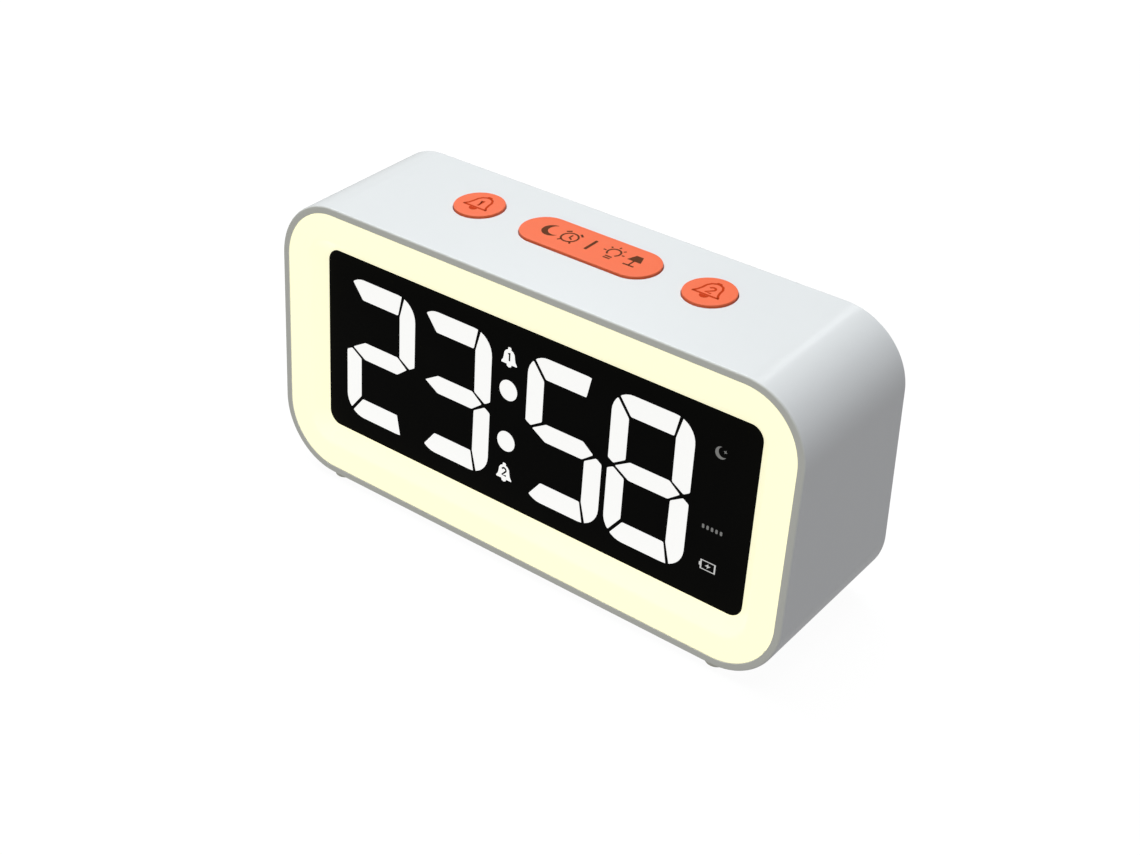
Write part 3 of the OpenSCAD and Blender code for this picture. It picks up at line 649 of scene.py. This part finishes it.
def segment(name):
    """Outline of one segment, from the digit's lower left corner."""
    points = UPPER_SEGMENTS[MIRRORED.get(name, name)]
    if name in MIRRORED:
        points = [(x, DIGIT_H - s) for x, s in points]
    face = moved(rounded(DIGIT_W / 2, DIGIT_H / 2, DIGIT_R, 8), DIGIT_W / 2, DIGIT_H / 2)
    half_gap, corner_r = 0.11, 0.35
    return soften(clip(shrink(counter_clockwise(points), half_gap), face), corner_r)


def add_plate(bm, points, d_front, d_back):
    """A flat plate on the front face; points are X and S about the face's middle."""
    points = counter_clockwise(points)
    add_loops(bm, [front_loop(points, d_front), front_loop(points, d_back)], cap_first=True, cap_last=True)


def glow_piece(name, outlines, material, slot="digit_glow", lift=GLOW_T):
    """One piece made of thin plates on the window's face."""
    bm = bmesh.new()
    for points in outlines:
        add_plate(bm, points, LENS_FRONT - lift, LENS_FRONT)
    place(finish_mesh(name, bm), material, slot)


def make_digits():
    """The lit segments of the time shown, and the colon."""
    for i, (figure, left) in enumerate(zip(SHOWN_TIME, DIGIT_LEFT)):
        shapes = [moved(segment(s), left, -DIGIT_H / 2) for s in LIT[figure]]
        glow_piece(f"lit_digit_{i + 1}", shapes, DIGIT)
    dots = [moved(circle(COLON_R), COLON_X, s) for s in (COLON_S, -COLON_S)]
    glow_piece("lit_colon", dots, DIGIT)


def bell_outline(w, h):
    """A bell about its middle: knob, dome and flared mouth."""
    half = [(0.0, 0.5), (0.07, 0.5), (0.11, 0.44), (0.09, 0.39), (0.24, 0.32), (0.33, 0.2), (0.36, 0.0),
            (0.40, -0.14), (0.5, -0.27), (0.5, -0.33), (0.16, -0.33), (0.13, -0.43), (0.0, -0.48)]
    right = [(x * w, y * h) for x, y in half]
    return right + [(-x, y) for x, y in reversed(right[1:-1])]


def stroke(points, width):
    """A line of constant width along points, as one closed outline."""
    left, right = [], []
    for i, p in enumerate(points):
        a, b = Vector(points[max(i - 1, 0)]), Vector(points[min(i + 1, len(points) - 1)])
        along = (b - a).normalized()
        side = Vector((-along.y, along.x)) * width / 2
        left.append(tuple(Vector(p) + side))
        right.append(tuple(Vector(p) - side))
    return left + right[::-1]


def crescent(cx, cy, r, inner_r, offset, turn=30):
    """A moon: a disc less a smaller one that lies off its centre, towards the angle turn."""
    reach = (offset ** 2 + r ** 2 - inner_r ** 2) / (2 * offset)
    outer = math.degrees(math.acos(reach / r))
    inner = math.degrees(math.acos((reach - offset) / inner_r))
    ix, iy = cx + offset * math.cos(math.radians(turn)), cy + offset * math.sin(math.radians(turn))
    return (arc(cx, cy, r, turn + outer, turn + 360 - outer, 20)
            + arc(ix, iy, inner_r, turn + 360 - inner, turn + inner, 14)[1:-1])


NUMERALS = {
    1: [[(-0.5, 0.9), (0.1, 1.4), (0.1, -1.4)]],
    2: [arc(0, 0.6, 0.8, 165, -20, 8) + [(-0.8, -1.3), (0.9, -1.3)]],
}


def make_bells():
    """The two lit alarm bells, with their numbers standing dark on them."""
    bell_x, number_up = COLON_X - 0.15, 0.2
    bell_places = (BELL_S - 0.3, 0.2 - BELL_S)
    bells = [moved(bell_outline(4.9, 5.6), bell_x, s) for s in bell_places]
    glow_piece("lit_bells", bells, DIGIT)
    size, line_w = 0.8, 0.5
    marks = []
    for number, s in zip((1, 2), bell_places):
        for line in NUMERALS[number]:
            small = [(x * size, y * size) for x, y in line]
            marks.append(moved(stroke(small, line_w), bell_x, s + number_up))
    glow_piece("bell_numbers", marks, WINDOW, "window_black", GLOW_T + HAIR)


def star_outline(r, waist=0.4, points=4):
    """A star about the origin; its waist is a share of its radius."""
    outline = []
    for k in range(2 * points):
        a = math.radians(180 / points * (k + 0.5))
        reach = r if k % 2 else r * waist
        outline.append((reach * math.cos(a), reach * math.sin(a)))
    return outline


def battery_outlines(half_w, half_h):
    """A lying battery with its pole at the left and a charging bolt inside."""
    line, end_line = 0.22, 0.4
    pole_half_w, pole_half_h = 0.2, 0.5
    outlines = [stroke([(-half_w, s * half_h), (half_w, s * half_h)], line) for s in (1, -1)]
    tall = half_h + line / 2
    outlines += [stroke([(s * half_w, -tall), (s * half_w, tall)], end_line) for s in (1, -1)]
    outlines.append(moved(rounded(pole_half_w, pole_half_h, 0.18, 3), -half_w - 0.35, 0))
    outlines.append([(0.15, 0.65), (-0.8, -0.12), (-0.1, -0.12), (-0.25, -0.65), (0.8, 0.16), (0.1, 0.16)])
    return outlines


def make_status_marks():
    """Snooze moon, five bars and the battery, one above the other at the right."""
    moon_s, bars_s, battery_s = 15.4, -5.3, -15.6
    bar_pitch = 1.25
    dim = [crescent(STATUS_X, moon_s, 1.6, 1.35, 0.7)]
    dim.append(moved(star_outline(0.55), STATUS_X + 1.1, moon_s + 0.6))
    for i in range(-2, 3):
        dim.append(moved(rounded(0.32, 0.55, 0.25, 4), STATUS_X + bar_pitch * i, bars_s))
    glow_piece("lit_status_marks", dim, DIM)
    battery = [moved(points, STATUS_X, battery_s) for points in battery_outlines(1.95, 1.2)]
    glow_piece("lit_battery", battery, MID)


# ---- Top buttons ----

CAP_EDGE = 0.12


def flat_mark(bm, points, z, thick=0.03):
    """A thin mark on a top face."""
    points = counter_clockwise(points)
    add_loops(bm, [[(x, y, z - thick) for x, y in points], [(x, y, z) for x, y in points]],
              cap_first=True, cap_last=True)


def add_post(bm, x, y, r, z_top, z_bottom, steps):
    """A round post that hangs under a cap."""
    outline = moved(circle(r, steps), x, y)
    loops = [[(px, py, z) for px, py in outline] for z in (z_top, z_bottom)]
    add_loops(bm, loops, cap_first=True, cap_last=True)


def make_cap(name, node, marks, mark_material):
    """A top button named after its body: crowned face, flange, stem and marks; a long one has guide pegs."""
    low, high = node_box(node)
    flange_t, flange_edge = 1.2, 0.1
    stem_r, stem_h = 2.2, 1.2
    peg_r, peg_x = 1.2, 14
    cx, cy = (low.x + high.x) / 2, (low.y + high.y) / 2
    flange_top = TOP_Z - WALL - 0.3
    flange_bottom = flange_top - flange_t
    crown = 0.06
    profile = [(-2.2, high.z - HAIR), (-1.2, high.z - 0.03), (-CAP_EDGE - 0.3, high.z - 0.045)]
    profile += [(-inset, high.z - crown - depth) for inset, depth in reversed(fillet(CAP_EDGE, 6))]
    profile += [(0, flange_top), (BUTTON_FLANGE - flange_edge, flange_top),
                (BUTTON_FLANGE, flange_top - flange_edge), (BUTTON_FLANGE, flange_bottom + flange_edge),
                (BUTTON_FLANGE - flange_edge, flange_bottom)]
    bm = bmesh.new()
    add_loops(bm, [cap_outline(node, grow, z) for grow, z in profile], cap_first=True, cap_last=True)
    add_post(bm, cx, cy, stem_r, flange_bottom, flange_bottom - stem_h, 48)
    if high.x - low.x > 2 * (high.y - low.y):
        for side in (-1, 1):
            add_post(bm, cx + side * peg_x, cy, peg_r, flange_bottom, low.z, 24)
    cap = finish_mesh(name, bm)
    weigh_normals(cap)
    place(cap, ORANGE, "button_orange", name, node)
    bm = bmesh.new()
    mark_back = 0.45
    for points in marks:
        flat_mark(bm, moved(points, cx, cy + mark_back), high.z)
    place(finish_mesh(name + "_mark", bm), mark_material, "button_orange", name)


def bell_line_marks(number):
    """A bell drawn with a line, its number inside."""
    line = 0.6
    right = [(0.55, 3.3), (1.6, 2.75), (2.25, 1.6), (2.45, 0.1), (2.85, -1.3), (3.55, -2.35)]
    left = [(-x, y) for x, y in right]
    marks = [stroke(right, line), stroke(left, line), stroke([(3.75, -2.35), (-3.75, -2.35)], line)]
    marks += [moved(rounded(0.75, 0.5, 0.4, 6), 0, 3.5), arc(0, -2.75, 1.25, 180, 360, 10)]
    marks += [stroke(points, line) for points in NUMERALS[number]]
    return marks


def ring_mark(cx, cy, r, width, steps=28):
    """A drawn circle, as four curved strokes that overlap a little."""
    marks = []
    for k in range(4):
        marks.append(stroke(arc(cx, cy, r, 90 * k - 1, 90 * k + 91, steps // 4), width))
    return marks


def snooze_marks():
    """Moon and alarm clock, a bar, a bulb and a lamp: pictograms for snooze and night light."""
    line = 0.5
    moon = crescent(-12.0, 0, 2.75, 2.35, 1.25)
    clock_x = -6.4
    clock = ring_mark(clock_x, -0.2, 2.2, line)
    clock += [stroke([(clock_x, 1.1), (clock_x, -0.3), (clock_x + 1, -0.9)], line)]
    clock += [stroke([(clock_x + s * 2.5, 1.8), (clock_x + s * 1.4, 2.7)], 0.6) for s in (-1, 1)]
    clock += [stroke([(clock_x + s * 1.3, -2.0), (clock_x + s * 1.9, -2.8)], line) for s in (-1, 1)]
    bulb_x, bulb_y = 6.7, 0.4
    bulb = [stroke(arc(bulb_x, bulb_y, 1.75, -52, 232, 20), line)]
    bulb += [stroke([(bulb_x - 1, y), (bulb_x + 1, y)], line) for y in (-1.9, -2.75)]
    for a in (0, 45, 90, 135, 180):
        c, d = math.cos(math.radians(a)), math.sin(math.radians(a))
        ray = [(bulb_x + reach * c, bulb_y + reach * d) for reach in (2.35, 3.1)]
        bulb.append(stroke(ray, 0.42))
    lamp = [[(11.0, -0.1), (12.0, 2.6), (14.0, 2.6), (15.0, -0.1)]]
    lamp += [stroke([(13.0, 0), (13.0, -2.3)], line), stroke([(11.4, -2.45), (14.6, -2.45)], line)]
    return [moon, rounded(0.42, 2.6, 0.3, 4)] + clock + bulb + lamp


def make_top_buttons():
    """The three orange buttons with their marks."""
    make_cap("alarm_1_cap", "alarm_1_button", bell_line_marks(1), ETCH)
    make_cap("snooze_cap", "snooze_button", snooze_marks(), INK)
    make_cap("alarm_2_cap", "alarm_2_button", bell_line_marks(2), ETCH)


# ---- Rear cover, keys and screws ----

COVER_T = 2.0
COVER_IN = REAR_Y - COVER_T
COVER_FACE = REAR_Y - HAIR
RECESS_FLOOR = REAR_Y - 1.2
KEYS_X, KEY_Z, KEY_PITCH = -30.0, 55.0, 12.0
KEY_CAP_R = 3.4
SCREW_HEAD_R = 2.5
KEY_NODES = ("set_key", "up_key", "down_key", "mode_key")


def rear_loop(points, y):
    """An outline of (x, z) pairs, stood up in the plane at y."""
    return [(x, y, z) for x, z in points]


def box_centre(node):
    """Middle of a node's box, seen from behind."""
    low, high = node_box(node)
    return (low.x + high.x) / 2, (low.z + high.z) / 2


def key_x(number):
    """Place of a key in the row of four."""
    return KEYS_X + (number - 1.5) * KEY_PITCH


def spokes(r_in, r_out, count, width):
    """Short bars that stand round the origin."""
    bars = []
    for k in range(count):
        a = 2 * math.pi * k / count
        c, d = math.cos(a), math.sin(a)
        bars.append(stroke([(r_in * c, r_in * d), (r_out * c, r_out * d)], width))
    return bars


def mouth(outline_at, y_in, flare):
    """Cutter for a hole in the back that starts at y_in and opens with a small round edge."""
    loops = [rear_loop(outline_at(0), y_in)]
    loops += [rear_loop(outline_at(inset), REAR_Y - depth) for inset, depth in fillet(flare, 4)]
    loops.append(rear_loop(outline_at(flare), REAR_Y + 1))
    return loft("cutter", loops, cap_first=True, cap_last=True)


def round_mouth(x, z, r, y_in, flare=0.01):
    """Cutter for a round hole in the back; it is sharp-edged unless a flare is given."""
    def outline(grow):
        return moved(circle(r + grow, 32), x, z)
    return mouth(outline, y_in, flare)


def turned(name, x, z, profile, steps=48):
    """A solid turned about a line along Y, from (radius, y) pairs."""
    loops = [rear_loop(moved(circle(r, steps), x, z), y) for r, y in profile]
    return loft(name, loops, cap_first=True, cap_last=True)


def corner_places(node, head_r):
    """Axes of four screws, one in each corner of a node's box."""
    low, high = node_box(node)
    return [(x, z) for x in (low.x + head_r, high.x - head_r) for z in (low.z + head_r, high.z - head_r)]


def grille_places():
    """A middle hole and three rings of holes in front of the speaker."""
    cx, cz = box_centre("speaker_basket")
    pitch = 4.2
    places = [(cx, cz)]
    for ring in (1, 2, 3):
        for k in range(6 * ring):
            a = math.radians(60 * k / ring)
            places.append((cx + ring * pitch * math.cos(a), cz - ring * pitch * math.sin(a)))
    return places


def cover_outline(inset):
    """The cover's rim, drawn in by inset; it slides into the sleeve with a small gap all round."""
    gap = WALL + SLIDE_GAP + inset
    return moved(rounded(HALF_W - gap, HALF_H - gap, CORNER_R - gap, 24), 0, MID_Z)


def key_recess_outline(grow):
    """The long recess that the four keys stand in."""
    return moved(stadium(3 * KEY_PITCH + 14 + 2 * grow, 12 + 2 * grow), KEYS_X, KEY_Z)


def usb_outline(grow):
    """The opening round the charging inlet."""
    low, high = node_box("usb_port")
    gap = 0.3 + grow
    half_w, half_h = (high.x - low.x) / 2 + gap, (high.z - low.z) / 2 + gap
    return moved(rounded(half_w, half_h, 1.5 + grow, 12), *box_centre("usb_port"))


def cover_cutters():
    """Everything that is cut out of the cover plate, in the order of cutting."""
    through = COVER_IN - 1
    cutters = [mouth(key_recess_outline, RECESS_FLOOR, 0.4), mouth(usb_outline, through, 0.3)]
    for number in range(4):
        cutters.append(round_mouth(key_x(number), KEY_Z, KEY_CAP_R + SLIDE_GAP, through))
    for x, z in corner_places("cover_screws", SCREW_HEAD_R):
        cutters.append(round_mouth(x, z, SCREW_HEAD_R + 0.2, COVER_IN + 0.4, 0.25))
        cutters.append(round_mouth(x, z, 1.5, through))
    for x, z in grille_places():
        cutters.append(round_mouth(x, z, 1.0, through, 0.2))
    pilot_r, speaker_head_r = 1.0, 3.4
    for x, z in corner_places("speaker_screws", speaker_head_r):
        cutters.append(turned("cutter", x, z, [(pilot_r, through), (pilot_r, COVER_IN + 1)], 24))
    return cutters


def make_rear_cover():
    """A new outer plate, joined to the CAD cover's own bosses and tongues on the inside."""
    loops = [rear_loop(cover_outline(0), COVER_IN)]
    loops += [rear_loop(cover_outline(inset), COVER_FACE - depth) for inset, depth in fillet(0.3)]
    plate = loft("cover_plate", loops, cap_first=True, cap_last=True)
    for cutter in cover_cutters():
        boolean(plate, cutter, "DIFFERENCE")
    inside = cad_copy("rear_cover", "cover_inside")
    core = loft("core", [rear_loop(cover_outline(-1), y) for y in (0, COVER_IN - 0.005)],
                cap_first=True, cap_last=True)
    boolean(inside, core, "INTERSECT")
    plate = join("rear_cover_plate", [plate, inside])
    smooth(plate)
    weigh_normals(plate)
    place(plate, COVER, "cover_white", replaces="rear_cover")


def key_marks():
    """Pictograms above the keys: cog, plus, minus and bell."""
    cog_line = 0.6
    cog = [stroke(arc(0, 0, 1.25, 90 * k - 2, 90 * k + 92, 6), cog_line) for k in range(4)]
    cog += spokes(1.4, 2.0, 8, cog_line)
    half_long, half_line = 1.5, 0.225
    bar = rounded(half_long, half_line, 0.2, 3)
    plus = [bar, rounded(half_line, half_long, 0.2, 3)]
    return (cog, plus, [bar], [bell_outline(3.8, 4.3)])


def make_cover_print():
    """Printed marks on the cover, mirrored in X so that they read from behind."""
    marks_z = KEY_Z + 9.6
    print_in = REAR_Y - 0.03
    bm = bmesh.new()
    for number, shapes in enumerate(key_marks()):
        x = key_x(number)
        for points in shapes:
            points = counter_clockwise([(x - px, marks_z + pz) for px, pz in points])
            add_loops(bm, [rear_loop(points, y) for y in (print_in, REAR_Y)], cap_first=True, cap_last=True)
    place(finish_mesh("cover_marks", bm), PRINT, "cover_white")


def make_keys():
    """Four turned keys with a flange inside the cover, a stem and a slightly crowned face."""
    stem_r, bevel = 1.7, 0.1
    flange_top = RECESS_FLOOR - 2 - 0.3
    flange_in = flange_top - 1.2
    crown = 0.08
    for node in KEY_NODES:
        low, high = node_box(node)
        x, z = box_centre(node)
        flange_r = (high.x - low.x) / 2
        cap_r = flange_r - 1
        profile = [(stem_r - bevel, low.y), (stem_r, low.y + bevel), (stem_r, flange_in)]
        profile += [(flange_r - bevel, flange_in), (flange_r, flange_in + bevel)]
        profile += [(flange_r, flange_top - bevel), (flange_r - bevel, flange_top), (cap_r, flange_top)]
        profile += [(cap_r - inset, high.y - crown - depth) for inset, depth in fillet(0.35, 5)]
        profile += [(cap_r - 0.9, high.y - 0.045), (cap_r - 1.9, high.y - 0.01), (0.6, high.y)]
        key = turned(node + "_cap", x, z, profile)
        weigh_normals(key)
        place(key, KEY, "key_grey", node.replace("_key", "_cap"), node)


def cross_outline(x, z, turn):
    """A screw's cross recess; its four arms get narrower outwards."""
    reach, half = 1.4, 0.27
    tip = half * 0.7
    arm = [(half, half), (reach, tip), (reach, -tip)]
    cross = []
    for k in range(4):
        a = turn - k * math.pi / 2
        c, d = math.cos(a), math.sin(a)
        cross += [(x + px * c - pz * d, z + px * d + pz * c) for px, pz in arm]
    return counter_clockwise(cross)


def make_cover_screws():
    """Four screws with domed heads; each cross recess stands at its own angle."""
    low, high = node_box("cover_screws")
    shank_r = 1.25
    head_in = high.y - 1.3
    recess_in = head_in + 0.35
    profile = [(shank_r - 0.15, low.y), (shank_r, low.y + 0.2), (shank_r, head_in)]
    profile += [(SCREW_HEAD_R - 0.1, head_in), (SCREW_HEAD_R, head_in + 0.1), (SCREW_HEAD_R, recess_in)]
    profile += [(2.4, head_in + 0.7), (2.1, head_in + 1.0), (1.6, head_in + 1.2), (0.9, high.y)]
    pieces = []
    for x, z in corner_places("cover_screws", SCREW_HEAD_R):
        screw = turned("screw", x, z, profile, 32)
        cross = cross_outline(x, z, math.radians(11 * x))
        cutter = loft("cutter", [rear_loop(cross, y) for y in (recess_in, high.y + 1)],
                      cap_first=True, cap_last=True)
        boolean(screw, cutter, "DIFFERENCE")
        pieces.append(screw)
    screws = join("cover_screw_heads", pieces)
    smooth(screws)
    place(screws, STEEL, "screw_steel", replaces="cover_screws")


def make_feet():
    """Four round pads, slightly hollow below and rounded at the edge."""
    high = node_box("rubber_feet")[1]
    r = 3.0
    profile = [(1.2, 0.12), (1.8, 0.08), (2.2, 0.0)]
    profile += [(r - inset, depth) for inset, depth in reversed(fillet(0.35, 4))]
    profile += [(r, high.z - 0.1), (r - 0.1, high.z)]
    bm = bmesh.new()
    for side in (-1, 1):
        for end in (-1, 1):
            cx, cy = side * (high.x - r), end * (high.y - r)
            loops = [[(cx + x, cy + y, z) for x, y in circle(ring_r)] for ring_r, z in profile]
            add_loops(bm, loops, cap_first=True, cap_last=True)
    place(finish_mesh("foot_pads", bm), RUBBER, "foot_rubber", replaces="rubber_feet")


def usb_loop(half_w, half_h, r, steps, y):
    """A rounded outline about the inlet's axis."""
    return rear_loop(moved(rounded(half_w, half_h, r, steps), *box_centre("usb_port")), y)


def make_usb_port():
    """The inlet's steel shell with rounded lips, and its black tongue."""
    low, high = node_box("usb_port")
    half_w, half_h = (high.x - low.x) / 2, (high.z - low.z) / 2
    wall, floor_t = 0.35, 1
    lip = fillet(0.12, 3)
    profile = [(0, low.y)]
    profile += [(inset, high.y - depth) for inset, depth in lip]
    profile += [(wall - inset, high.y - depth) for inset, depth in reversed(lip)]
    profile.append((wall, low.y + floor_t))
    loops = [usb_loop(half_w - inset, half_h - inset, 1.2 - inset, 12, y) for inset, y in profile]
    shell = loft("usb_shell", loops, cap_first=True, cap_last=True)
    weigh_normals(shell)
    place(shell, CAN, "can_steel", replaces="usb_port")
    tongue_w, tongue_h, bevel = 3.35, 0.35, 0.1
    loops = [usb_loop(tongue_w, tongue_h, 0.05, 2, y) for y in (low.y + 0.9, high.y - 1.15)]
    loops.append(usb_loop(tongue_w - bevel, tongue_h - bevel, 0.05, 2, high.y - 1.0))
    tongue = loft("usb_tongue", loops, cap_first=True, cap_last=True)
    place(tongue, INNER_BLACK, "can_steel")


# ---- Build ----

make_camera()
make_studio()
paint_nodes()
make_housing()
make_light_ring()
make_window()
make_digits()
make_bells()
make_status_marks()
make_top_buttons()
make_rear_cover()
make_cover_print()
make_keys()
make_cover_screws()
make_feet()
make_usb_port()
